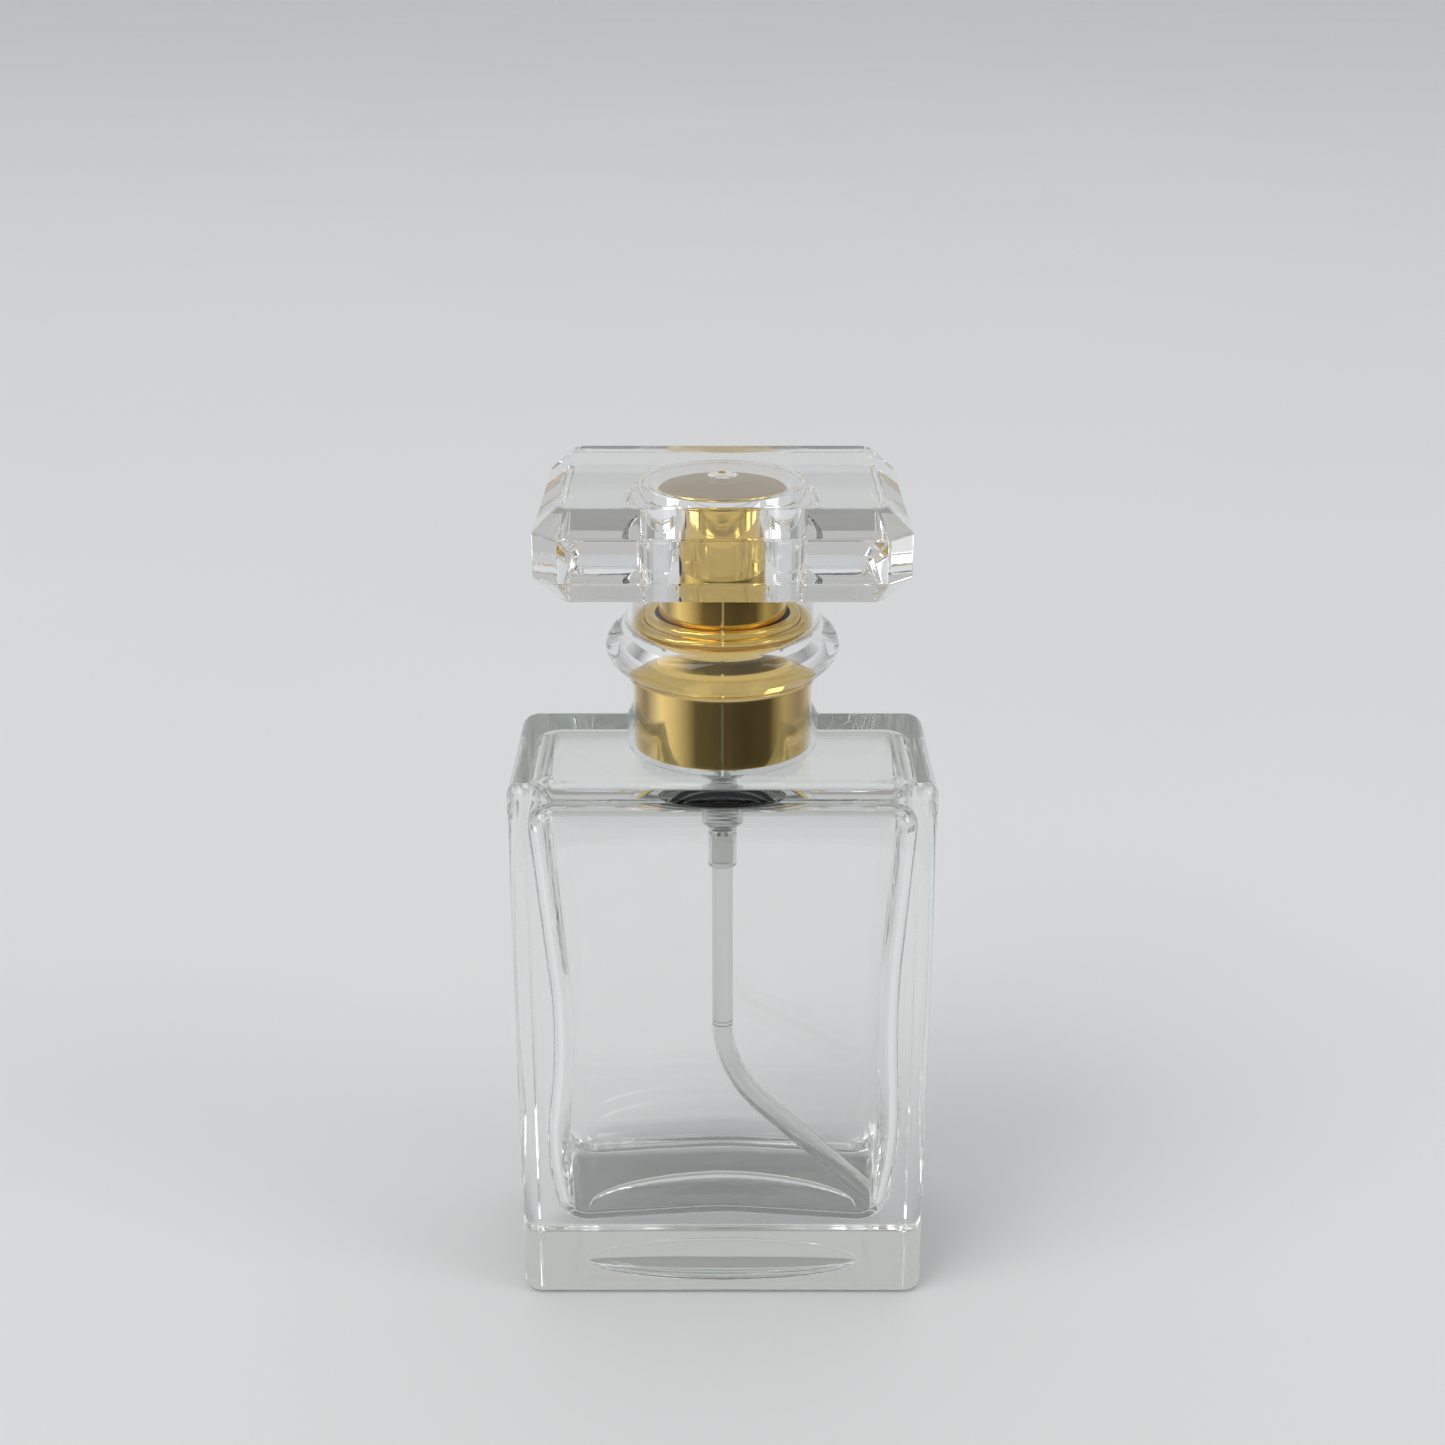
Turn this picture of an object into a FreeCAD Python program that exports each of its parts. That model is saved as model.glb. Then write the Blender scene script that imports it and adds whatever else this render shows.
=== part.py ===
import FreeCAD, Part
import math
import os
import re
import Sketcher

# Glass perfume bottle: thick glass body, crimped spray pump under a gold
# collar, gold actuator and a clear faceted cap.
# Millimetres, +Z up. The origin is the middle of the foot that the bottle
# stands on, +X is the bottle's width and -Y is its front.

# Every size that can be set by itself: name, value and what it is.
SIZES = [
    # glass body
    ("body_width", 43.0, "glass, side to side"),
    ("body_depth", 22.0, "glass, front to back"),
    ("body_height", 59.6, "foot to shoulder"),
    ("corner_round", 1.9, "upright edges of the glass"),
    ("shoulder_round", 1.5, "edges round the shoulder"),
    ("foot_round", 1.0, "edges round the foot"),
    ("recess_width", 30.0, "hollow under the foot, side to side"),
    ("recess_depth", 13.0, "hollow under the foot, front to back"),
    ("recess_rise", 0.8, "how far that hollow is pushed up"),
    # inside of the glass
    ("front_wall", 2.6, "front and back walls"),
    ("roof_wall", 2.7, "glass under the shoulder"),
    ("floor_wall", 7.4, "glass under the inside's floor, at its sides"),
    ("floor_rise", 1.3, "how much higher the floor's middle is"),
    ("shoulder_side", 1.5, "side walls just under the shoulder"),
    ("left_waist", 4.1, "left side wall at its waist"),
    ("left_waist_level", 30.0, "height of the left waist"),
    ("left_belly_level", 16.0, "height of the left belly"),
    ("right_waist", 3.2, "right side wall at its waist"),
    ("right_waist_level", 34.0, "height of the right waist"),
    ("right_belly_level", 17.0, "height of the right belly"),
    ("belly_side", 2.4, "side walls at the belly"),
    ("foot_side", 4.1, "side walls at the floor"),
    ("inside_corner", 3.2, "inside's corners seen from the front"),
    ("waist_bend", 60.0, "long bends at the waist"),
    ("belly_bend", 28.0, "long bends at the belly"),
    ("floor_bend", 25.0, "bend over the floor's middle"),
    ("inside_edge", 2.8, "inside's front and back edges"),
    # glass neck
    ("neck_rise", 7.6, "shoulder to the top of the neck"),
    ("bead_width", 15.0, "crimping bead"),
    ("bead_step", 1.0, "bead out from the neck under it"),
    ("bead_height", 3.9, "crimping bead, top to bottom"),
    ("bead_round", 0.6, "edges of the bead"),
    ("neck_bore", 9.4, "bore of the neck"),
    ("throat_round", 1.2, "where the bore opens into the inside"),
    # crimped cup and its gasket
    ("gasket_height", 0.8, "gasket on the neck"),
    ("gasket_inset", 0.3, "gasket's edge in from the bead's"),
    ("ferrule_wall", 0.4, "crimped cup's sheet"),
    ("ferrule_slip", 0.1, "cup to bead, round the side"),
    ("ferrule_tuck", 0.15, "cup's lip to the neck under the bead"),
    ("fit_gap", 0.04, "radial gap where one piece fits in another"),
    # gold collar and its liner
    ("liner_wall", 0.47, "liner between the cup and the collar"),
    ("collar_wall", 0.45, "collar's sheet"),
    ("collar_gap", 1.1, "shoulder to the collar"),
    ("collar_height", 13.4, "collar, without its lip"),
    ("collar_round", 0.8, "collar's top outer edge"),
    ("actuator_slip", 0.3, "collar's hole to the actuator, round the side"),
    ("lip_rise", 0.5, "raised lip round that hole"),
    ("lip_width", 0.9, "lip, radially"),
    ("lip_round", 0.3, "edges of the lip"),
    ("liner_gap", 0.5, "liner up from the collar's foot"),
    ("liner_ledge", 0.8, "liner's ledge on the cup"),
    ("liner_ledge_reach", 0.94, "how far that ledge reaches inwards"),
    # pump body
    ("flange_inset", 0.4, "pump body's flange in from the bead's edge"),
    ("pump_flange", 0.7, "flange thickness"),
    ("barrel_bore", 5.4, "bore that the piston runs in"),
    ("barrel_wall", 0.6, "wall round that bore"),
    ("barrel_depth", 7.2, "flange top to the bore's floor"),
    ("well_bore", 3.4, "bore that holds the spring"),
    ("well_wall", 0.45, "wall round the spring"),
    ("well_depth", 8.3, "barrel's floor to the spring's seat"),
    ("ball_pocket", 2.3, "bore of the ball's pocket"),
    ("pocket_depth", 2.2, "spring's seat down to the ball's seat"),
    ("pocket_lip", 0.2, "snap lip over the ball, along the axis"),
    ("pocket_lip_bore", 1.7, "bore of the snap lip"),
    ("inlet_bore", 1.2, "hole under the ball"),
    ("inlet_depth", 0.7, "length of that hole"),
    ("tail_width", 3.0, "tail that holds the dip tube"),
    ("tail_reach", 3.5, "tail below the inlet hole's foot"),
    ("tail_cone", 1.0, "cone from the spring's well to the tail"),
    # turret, seal and moving pump pieces
    ("turret_flange", 0.6, "turret's flange under the cup"),
    ("boss_width", 5.8, "turret's boss through the cup"),
    ("boss_rise", 0.5, "boss above the cup"),
    ("seal_height", 0.6, "stem seal"),
    ("stem_width", 3.2, "pump stem"),
    ("stem_bore", 1.2, "bore of the stem"),
    ("stem_rise", 9.6, "stem above the cup"),
    ("stem_foot", 0.5, "stem's foot flange, thickness"),
    ("stem_foot_width", 4.6, "stem's foot flange"),
    ("piston_height", 2.1, "piston"),
    ("piston_waist", 0.3, "piston's waist in from its lips"),
    ("piston_slip", 0.05, "gaps above and below the piston"),
    ("poppet_width", 3.2, "poppet's flange"),
    ("poppet_flange", 0.6, "flange thickness"),
    ("poppet_tip", 0.9, "tip that enters the stem"),
    ("poppet_guide", 2.0, "guide inside the spring"),
    ("poppet_guide_width", 2.1, "guide inside the spring"),
    ("wire", 0.4, "spring wire"),
    ("coils", 9, "turns of the spring"),
    ("coil_width", 3.2, "spring, outside"),
    ("ball_width", 1.9, "inlet ball"),
    # dip tube
    ("tube_width", 2.2, "dip tube, outside"),
    ("tube_wall", 0.3, "dip tube"),
    ("tube_bend", 11.2, "radius of the tube's bend"),
    ("tube_sweep", 55.0, "degrees that the tube bends through"),
    ("tube_clear", 4.4, "glass's side to the tube's cut end, on its axis"),
    ("tube_end_level", 10.1, "height of the tube's cut end, on its axis"),
    ("tube_heading", -20.0, "degrees from +X that the tube runs to"),
    # actuator
    ("actuator_width", 12.9, "gold shell"),
    ("actuator_height", 11.8, "gold shell"),
    ("actuator_dip", 0.2, "shell's foot below the collar's top"),
    ("shell_wall", 0.35, "gold shell's sheet"),
    ("shell_round", 0.5, "shell's top edge"),
    ("core_foot", 0.4, "core up from the shell's foot"),
    ("socket_wall", 1.1, "core's wall round the stem"),
    ("core_wall", 0.7, "core's outer wall"),
    ("core_pocket", 3.6, "hollow round the stem's socket, height"),
    ("spray_level", 6.9, "nozzle above the shell's foot"),
    ("spray_turn", -60.0, "degrees that the nozzle is turned from the front"),
    ("spray_window", 2.1, "hole in the shell"),
    ("insert_width", 3.8, "nozzle insert"),
    ("insert_length", 2.4, "nozzle insert"),
    ("insert_dish", 1.5, "dish in the insert's face"),
    ("insert_dish_depth", 0.3, "dish in the insert's face"),
    ("spray_hole", 0.4, "spray orifice"),
    ("riser_bore", 1.2, "passage up from the stem"),
    ("feed_bore", 0.9, "passage across to the insert"),
    # clear cap
    ("slab_width", 35.7, "cap's slab, side to side"),
    ("slab_depth", 29.6, "cap's slab, front to back"),
    ("slab_corner", 2.35, "leg of its cut corners"),
    ("crown_inset", 2.5, "upper bevel, inwards"),
    ("crown_height", 2.4, "upper bevel, upwards"),
    ("girdle_height", 4.35, "upright band between the bevels"),
    ("pavilion_inset", 2.5, "lower bevel, inwards"),
    ("pavilion_height", 2.5, "lower bevel, upwards"),
    ("cap_gap", 0.7, "shoulder to the cap's foot"),
    ("sleeve_slip", 0.2, "cap to collar, round the side"),
    ("sleeve_wall", 0.55, "cap's sleeve"),
    ("cap_step", 5.0, "collar's lip up to the step in the cap's bore"),
    ("hood_slip", 1.85, "cap's bore to the actuator, round the side"),
    ("hood_gap", 0.8, "actuator's top to the cap's ceiling"),
    ("hood_round", 0.8, "edge of that ceiling"),
    ("ceiling_wall", 1.9, "cap's top over the ceiling"),
    ("ring_drop", 3.1, "ring's middle below the collar's top"),
    ("ring_section", 5.1, "ring's round section"),
    ("ring_out", 0.05, "ring's centre line out from the cap's bore"),
    ("gate_width", 3.0, "moulding dimple on the cap's top"),
    ("gate_depth", 0.3, "moulding dimple on the cap's top"),
]
NAMES = {name for name, value, note in SIZES}

# A wall that turns by fewer degrees than this is left as it is: it already
# reads as straight, and there is nothing to round.
SLIGHT_TURN = 6.0

# Levels along the axis, as sums of those sizes.
neck_top = "(body_height + neck_rise)"
flange_top = f"({neck_top} + gasket_height + pump_flange)"
turret_top = f"({flange_top} + turret_flange)"
ferrule_top = f"({turret_top} + ferrule_wall)"
collar_foot = "(body_height + collar_gap)"
collar_top = f"({collar_foot} + collar_height)"
lip_top = f"({collar_top} + lip_rise)"
barrel_floor = f"({flange_top} - barrel_depth)"
spring_seat = f"({barrel_floor} - well_depth)"
ball_seat = f"({spring_seat} - pocket_depth)"
inlet_foot = f"({ball_seat} - inlet_depth)"
tail_foot = f"({inlet_foot} - tail_reach)"
stem_top = f"({ferrule_top} + stem_rise)"
piston_top = f"({flange_top} - seal_height - piston_slip)"
piston_foot = f"({piston_top} - piston_height)"
stem_foot_top = f"({piston_foot} - piston_slip)"
stem_end = f"({stem_foot_top} - stem_foot)"
poppet_top = f"({stem_end} - piston_slip)"
poppet_seat = f"({poppet_top} - poppet_flange)"
shell_foot = f"({collar_top} - actuator_dip)"
shell_top = f"({shell_foot} + actuator_height)"
spray_height = f"({shell_foot} + spray_level)"
hood_top = f"({shell_top} + hood_gap)"
cap_top = f"({hood_top} + ceiling_wall)"
girdle_top = f"({cap_top} - crown_height)"
girdle_foot = f"({girdle_top} - girdle_height)"
slab_foot = f"({girdle_foot} - pavilion_height)"
sleeve_foot = "(body_height + cap_gap)"
ring_level = f"({collar_top} - ring_drop)"

# Widths and places that follow from other pieces.
neck_width = "(bead_width - 2 * bead_step)"
gasket_width = "(bead_width - 2 * gasket_inset)"
flange_width = "(bead_width - 2 * flange_inset)"
cup_radius = "(bead_width / 2 + ferrule_slip + ferrule_wall)"
liner_radius = f"({cup_radius} + fit_gap + liner_wall)"
collar_width = f"(2 * ({liner_radius} + fit_gap + collar_wall))"
collar_hole = "(actuator_width + 2 * actuator_slip)"
core_radius = "(actuator_width / 2 - shell_wall - fit_gap)"
collar_bore = f"({collar_width} / 2 + sleeve_slip)"
hood_bore = "(actuator_width + 2 * hood_slip)"
tube_reach = "(body_width / 2 - tube_clear)"
bend_across = "(tube_bend * (1 - cos(tube_sweep)))"
bend_foot = f"(tube_end_level + ({tube_reach} - {bend_across}) / tan(tube_sweep))"
bend_start = f"({bend_foot} + tube_bend * sin(tube_sweep))"

doc = FreeCAD.newDocument("perfume_bottle")
sheet = doc.addObject("Spreadsheet::Sheet", "sizes")


def fill_sheet():
    """Write each size, its name and its meaning on a row of its own."""
    for row, (name, value, note) in enumerate(SIZES, start=1):
        sheet.set(f"A{row}", name)
        sheet.set(f"B{row}", str(value))
        sheet.set(f"C{row}", note)
        sheet.setAlias(f"B{row}", name)
    doc.recompute()


def tie(expression):
    """Give the size names in an expression their place in the sheet."""
    def place(word):
        return f"sizes.{word[0]}" if word[0] in NAMES else word[0]
    return re.sub(r"[a-z_]+", place, str(expression))


def amount(expression):
    """Work out an expression from the sheet's present values."""
    return float(sheet.evalExpression(tie(expression)))


# ---- drawing helpers ----

def new_body(label):
    body = doc.addObject("PartDesign::Body", label)
    body.Label = label
    return body


def new_sketch(body, role, lift=None):
    """Start a sketch on one of the body's own planes, lifted off it if asked."""
    sketch = body.newObject("Sketcher::SketchObject", f"{body.Label}_outline")
    plane = next(item for item in body.Origin.OriginFeatures if item.Role == role)
    sketch.AttachmentSupport = (plane, [""])
    sketch.MapMode = "FlatFace"
    if lift is not None:
        sketch.setExpression("AttachmentOffset.Base.z", tie(lift))
    return sketch


def hold(sketch, kind, edge, end, expression):
    """Bind one coordinate of a point, or rest it on the axis where it is 0."""
    if expression == "0":
        axis = -2 if kind == "DistanceX" else -1
        sketch.addConstraint(Sketcher.Constraint("PointOnObject", edge, end, axis))
        return
    limit = Sketcher.Constraint(kind, -1, 1, edge, end, amount(expression))
    number = sketch.addConstraint(limit)
    sketch.setExpression(f"Constraints[{number}]", tie(expression))


def draw_outline(sketch, corners):
    """Draw a closed outline with every corner bound to the sheet."""
    spots = [FreeCAD.Vector(amount(across), amount(up), 0) for across, up in corners]
    lines = [Part.LineSegment(spots[i - 1], spots[i]) for i in range(len(spots))]
    first = sketch.addGeometry(lines, False)[0]
    for i, (across, up) in enumerate(corners):
        after = first + (i + 1) % len(corners)
        sketch.addConstraint(Sketcher.Constraint("Coincident", first + i, 2, after, 1))
        hold(sketch, "DistanceX", first + i, 2, across)
        hold(sketch, "DistanceY", first + i, 2, up)


def draw_circle(sketch, across, up, width):
    """Draw a circle whose centre and width are bound to the sheet."""
    centre = FreeCAD.Vector(amount(across), amount(up), 0)
    circle = Part.Circle(centre, FreeCAD.Vector(0, 0, 1), amount(width) / 2)
    edge = sketch.addGeometry(circle, False)
    hold(sketch, "DistanceX", edge, 3, across)
    hold(sketch, "DistanceY", edge, 3, up)
    number = sketch.addConstraint(Sketcher.Constraint("Diameter", edge, amount(width)))
    sketch.setExpression(f"Constraints[{number}]", tie(width))


def revolve(body, sketch, kind="PartDesign::Revolution"):
    """Turn a drawn half section once round the axis, adding or cutting."""
    feature = body.newObject(kind, f"{body.Label}_turning")
    feature.Profile = sketch
    feature.ReferenceAxis = (sketch, ["V_Axis"])
    feature.Angle = 360
    return feature


def turned(label, corners):
    """A turned piece whose half section is a closed outline."""
    body = new_body(label)
    sketch = new_sketch(body, "XZ_Plane")
    draw_outline(sketch, corners)
    revolve(body, sketch)
    doc.recompute()
    return body


def turned_cut(body, corners):
    """Cut a turned space out of a body."""
    sketch = new_sketch(body, "XZ_Plane")
    draw_outline(sketch, corners)
    before = body.Shape.Volume
    revolve(body, sketch, "PartDesign::Groove")
    doc.recompute()
    expect_less(body, before)


def extrude(body, sketch, length, kind="PartDesign::Pad", middle=False, reverse=False):
    """Pull a drawn outline into a solid or a cut."""
    feature = body.newObject(kind, f"{body.Label}_pull")
    feature.Profile = sketch
    feature.setExpression("Length", tie(length))
    if middle:
        feature.SideType = "Symmetric"
    feature.Reversed = reverse
    return feature


def expect_less(body, before):
    if not body.Shape.Volume < before - 1e-6:
        raise RuntimeError(f"{body.Label}: a cut took nothing away")


def soften(body, wanted, radius):
    """Round the edges of a body that a test picks."""
    base = body.Tip
    picked = [f"Edge{i}" for i, edge in enumerate(base.Shape.Edges, start=1) if wanted(edge)]
    if not picked:
        raise RuntimeError(f"{body.Label}: no edge to round by {radius}")
    feature = body.newObject("PartDesign::Fillet", f"{body.Label}_rounding")
    feature.Base = (base, picked)
    feature.setExpression("Radius", tie(radius))
    doc.recompute()
    if "Up-to-date" not in feature.State:
        raise RuntimeError(f"{body.Label}: rounding by {radius} is {feature.State}")


def near(value, expression, slack=0.01):
    return abs(value - amount(expression)) < slack


def ring_edge(width, level):
    """A test for the round edge of one width at one level."""
    def wanted(edge):
        curve = edge.Curve
        if not isinstance(curve, Part.Circle):
            return False
        return near(curve.Radius, f"{width} / 2") and near(curve.Center.z, level)
    return wanted


def lies_at(edge, axis, place):
    """Whether an edge's middle and ends all have one coordinate."""
    spots = [vertex.Point for vertex in edge.Vertexes] + [edge.CenterOfMass]
    return all(near(getattr(spot, axis), place) for spot in spots)


def level_edge(level):
    """A test for the edges that lie flat at one level."""
    return lambda edge: lies_at(edge, "z", level)


def along(axis, edge):
    """Whether an edge is straight along X, Y or Z."""
    if not isinstance(edge.Curve, Part.Line):
        return False
    return abs(getattr(edge.Curve.Direction, axis)) > 0.9999


# ---- glass ----

def turn_at(before, corner, after):
    """Degrees that an outline turns through at a corner."""
    spots = [FreeCAD.Vector(amount(across), amount(up), 0) for across, up in (before, corner, after)]
    return math.degrees((spots[1] - spots[0]).getAngle(spots[2] - spots[1]))


def inside_space():
    """The bottle's inside and the bore of its neck, as one space."""
    body = new_body("inside_space")
    roof = "(body_height - roof_wall)"
    right = [("foot_side", "floor_wall"), ("belly_side", "right_belly_level"),
             ("right_waist", "right_waist_level"), ("shoulder_side", roof)]
    left = [("shoulder_side", roof), ("left_waist", "left_waist_level"),
            ("belly_side", "left_belly_level"), ("foot_side", "floor_wall")]
    right = [(f"(body_width / 2 - {wall})", level) for wall, level in right]
    left = [(f"({wall} - body_width / 2)", level) for wall, level in left]
    middle = ("0", "(floor_wall + floor_rise)")
    sketch = new_sketch(body, "XZ_Plane")
    draw_outline(sketch, [middle] + right + left)
    extrude(body, sketch, "body_depth - 2 * front_wall", middle=True)
    doc.recompute()

    def bend(corner):
        return lambda edge: (along("y", edge) and lies_at(edge, "z", corner[1])
                             and near(edge.CenterOfMass.x, corner[0]))

    def soften_bend(before, corner, after, radius):
        if turn_at(before, corner, after) > SLIGHT_TURN:
            soften(body, bend(corner), radius)
    soften_bend(left[3], middle, right[0], "floor_bend")
    for foot, belly, waist, top in (right, left[::-1]):
        soften_bend(foot, belly, waist, "belly_bend")
        soften_bend(belly, waist, top, "waist_bend")

    def level_bend(level):
        return lambda edge: along("y", edge) and lies_at(edge, "z", level)
    soften(body, level_bend("floor_wall"), "inside_corner")
    soften(body, level_bend(roof), "inside_corner")

    def face_edge(edge):
        reach = "(body_depth / 2 - front_wall)"
        return lies_at(edge, "y", reach) or lies_at(edge, "y", f"(-{reach})")
    soften(body, face_edge, "inside_edge")

    bore = new_sketch(body, "XY_Plane", f"{roof} - throat_round")
    draw_circle(bore, "0", "0", "neck_bore")
    extrude(body, bore, f"{neck_top} - {roof} + throat_round")
    doc.recompute()
    soften(body, ring_edge("neck_bore", roof), "throat_round")
    return body


def glass_bottle():
    inside = inside_space()
    body = new_body("glass_bottle")
    half_width, half_depth = "body_width / 2", "body_depth / 2"
    plan = new_sketch(body, "XY_Plane")
    draw_outline(plan, [(f"(-{half_width})", f"(-{half_depth})"), (half_width, f"(-{half_depth})"),
                        (half_width, half_depth), (f"(-{half_width})", half_depth)])
    extrude(body, plan, "body_height")
    doc.recompute()
    soften(body, lambda edge: along("z", edge), "corner_round")
    soften(body, level_edge("body_height"), "shoulder_round")
    soften(body, level_edge("0"), "foot_round")

    neck = new_sketch(body, "XZ_Plane")
    bead_foot = f"({neck_top} - bead_height)"
    draw_outline(neck, [("0", "(body_height - roof_wall / 2)"),
                        (f"{neck_width} / 2", "(body_height - roof_wall / 2)"),
                        (f"{neck_width} / 2", bead_foot), ("bead_width / 2", bead_foot),
                        ("bead_width / 2", neck_top), ("0", neck_top)])
    revolve(body, neck)
    doc.recompute()
    soften(body, ring_edge("bead_width", bead_foot), "bead_round")
    soften(body, ring_edge("bead_width", neck_top), "bead_round")

    before = body.Shape.Volume
    hollow = body.newObject("PartDesign::Boolean", "hollow")
    hollow.setObjects([inside])
    hollow.Type = "Cut"
    body.Tip = hollow
    doc.recompute()
    expect_less(body, before)

    before = body.Shape.Volume
    recess = body.newObject("PartDesign::SubtractiveEllipsoid", "foot_recess")
    recess.setExpression("Radius1", tie("recess_rise"))
    recess.setExpression("Radius2", tie("recess_width / 2"))
    recess.setExpression("Radius3", tie("recess_depth / 2"))
    doc.recompute()
    expect_less(body, before)
    return body


# ---- crimped cup, collar ----

def neck_gasket():
    bore = "(barrel_bore / 2 + barrel_wall + fit_gap)"
    return turned("neck_gasket", [
        (bore, neck_top), (f"{gasket_width} / 2", neck_top),
        (f"{gasket_width} / 2", f"({neck_top} + gasket_height)"),
        (bore, f"({neck_top} + gasket_height)")])


def ferrule():
    """The metal cup that is crimped under the neck's bead."""
    inner = f"({cup_radius} - ferrule_wall)"
    lip = f"({neck_width} / 2 + ferrule_tuck)"
    hole = "(boss_width / 2 + fit_gap)"
    tuck_top = f"({neck_top} - bead_height)"
    tuck_foot = f"({tuck_top} - ferrule_wall)"
    body = turned("ferrule", [
        (hole, turret_top), (inner, turret_top), (inner, tuck_top), (lip, tuck_top),
        (lip, tuck_foot), (cup_radius, tuck_foot), (cup_radius, ferrule_top),
        (hole, ferrule_top)])
    soften(body, ring_edge(f"2 * {cup_radius}", ferrule_top), "ferrule_wall")
    return body


def collar_liner():
    """Plastic sleeve that grips the cup and carries the gold collar."""
    inner = f"({cup_radius} + fit_gap)"
    foot = f"({collar_foot} + liner_gap)"
    top = f"({collar_top} - collar_wall - collar_round)"
    ledge = f"({inner} - liner_ledge_reach)"
    ledge_top = f"({ferrule_top} + liner_ledge)"
    return turned("collar_liner", [
        (inner, foot), (liner_radius, foot), (liner_radius, top), (inner, top),
        (inner, ledge_top), (ledge, ledge_top), (ledge, ferrule_top), (inner, ferrule_top)])


def collar():
    """Gold collar with a raised lip round the actuator's hole."""
    outer = f"{collar_width} / 2"
    inner = f"({outer} - collar_wall)"
    hole = f"{collar_hole} / 2"
    lip = f"({hole} + lip_width)"
    under = f"({collar_top} - collar_wall)"
    body = turned("collar", [
        (outer, collar_foot), (outer, collar_top), (lip, collar_top), (lip, lip_top),
        (hole, lip_top), (hole, under), (inner, under), (inner, collar_foot)])
    soften(body, ring_edge(collar_width, collar_top), "collar_round")
    soften(body, ring_edge(f"2 * {inner}", under), "(collar_round - collar_wall)")
    soften(body, ring_edge(collar_hole, lip_top), "lip_round")
    soften(body, ring_edge(f"2 * {lip}", lip_top), "lip_round")
    return body


# ---- pump ----

def pump_housing():
    """Plastic pump body: flange, barrel, spring well, ball pocket and tail."""
    barrel = "(barrel_bore / 2 + barrel_wall)"
    well = "(well_bore / 2 + well_wall)"
    shelf = f"({barrel_floor} - barrel_wall)"
    tube_bore = "(tube_width / 2 + fit_gap / 2)"
    return turned("pump_housing", [
        ("barrel_bore / 2", flange_top), (f"{flange_width} / 2", flange_top),
        (f"{flange_width} / 2", f"({flange_top} - pump_flange)"),
        (barrel, f"({flange_top} - pump_flange)"), (barrel, shelf),
        (well, f"({shelf} - barrel_wall)"), (well, spring_seat),
        ("tail_width / 2", f"({spring_seat} - tail_cone)"), ("tail_width / 2", tail_foot),
        (tube_bore, tail_foot), (tube_bore, inlet_foot), ("inlet_bore / 2", inlet_foot),
        ("inlet_bore / 2", ball_seat), ("ball_pocket / 2", ball_seat),
        ("ball_pocket / 2", f"({spring_seat} - pocket_lip)"),
        ("pocket_lip_bore / 2", f"({spring_seat} - pocket_lip)"),
        ("pocket_lip_bore / 2", spring_seat), ("well_bore / 2", spring_seat),
        ("well_bore / 2", barrel_floor), ("barrel_bore / 2", barrel_floor)])


def turret():
    """Guide that holds the pump body in the cup; its boss comes through it."""
    bore = "(stem_width / 2 + fit_gap)"
    boss_top = f"({ferrule_top} + boss_rise)"
    return turned("turret", [
        (bore, flange_top), (f"{flange_width} / 2", flange_top),
        (f"{flange_width} / 2", turret_top), ("boss_width / 2", turret_top),
        ("boss_width / 2", boss_top), (bore, boss_top)])


def stem_seal():
    bore = "(stem_width / 2 + fit_gap / 2)"
    outer = "(barrel_bore / 2 - fit_gap)"
    foot = f"({flange_top} - seal_height)"
    return turned("stem_seal", [
        (bore, foot), (outer, foot), (outer, flange_top), (bore, flange_top)])


def stem():
    """Hollow stem that carries the actuator, with a foot under the piston."""
    return turned("stem", [
        ("stem_bore / 2", stem_end), ("stem_foot_width / 2", stem_end),
        ("stem_foot_width / 2", stem_foot_top), ("stem_width / 2", stem_foot_top),
        ("stem_width / 2", stem_top), ("stem_bore / 2", stem_top)])


def piston():
    """Soft piston with a wiping lip at each end."""
    bore = "(stem_width / 2 + fit_gap / 2)"
    lip = "(barrel_bore / 2 - fit_gap)"
    waist = f"({lip} - piston_waist)"
    third = "piston_height / 3"
    return turned("piston", [
        (bore, piston_foot), (lip, piston_foot), (waist, f"({piston_foot} + {third})"),
        (waist, f"({piston_top} - {third})"), (lip, piston_top), (bore, piston_top)])


def outlet_poppet():
    """Valve pin that closes the stem from below and carries the spring."""
    guide = "poppet_guide_width / 2"
    tip = "(stem_bore / 2 - 2 * fit_gap)"
    return turned("outlet_poppet", [
        ("0", f"({poppet_seat} - poppet_guide)"), (guide, f"({poppet_seat} - poppet_guide)"),
        (guide, poppet_seat), ("poppet_width / 2", poppet_seat),
        ("poppet_width / 2", poppet_top), (tip, poppet_top),
        (tip, f"({poppet_top} + poppet_tip / 2)"), ("0", f"({poppet_top} + poppet_tip)")])


def return_spring():
    """Round-wire coil between the well's seat and the poppet's flange."""
    body = new_body("return_spring")
    sketch = new_sketch(body, "XZ_Plane")
    draw_circle(sketch, "((coil_width - wire) / 2)", f"({spring_seat} + wire / 2)", "wire")
    coil = body.newObject("PartDesign::AdditiveHelix", "coil")
    coil.Profile = sketch
    coil.ReferenceAxis = (sketch, ["V_Axis"])
    coil.Mode = "height-turns-angle"
    coil.setExpression("Height", tie(f"{poppet_seat} - {spring_seat} - wire"))
    coil.setExpression("Turns", tie("coils"))
    doc.recompute()
    return body


def inlet_ball():
    """Steel ball resting on the edge of the inlet hole."""
    ball = doc.addObject("Part::Sphere", "inlet_ball")
    ball.Label = "inlet_ball"
    ball.setExpression("Radius", tie("ball_width / 2"))
    rest = f"{ball_seat} + sqrt(ball_width ^ 2 - inlet_bore ^ 2) / 2"
    ball.setExpression("Placement.Base.z", tie(rest))
    return ball


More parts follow.
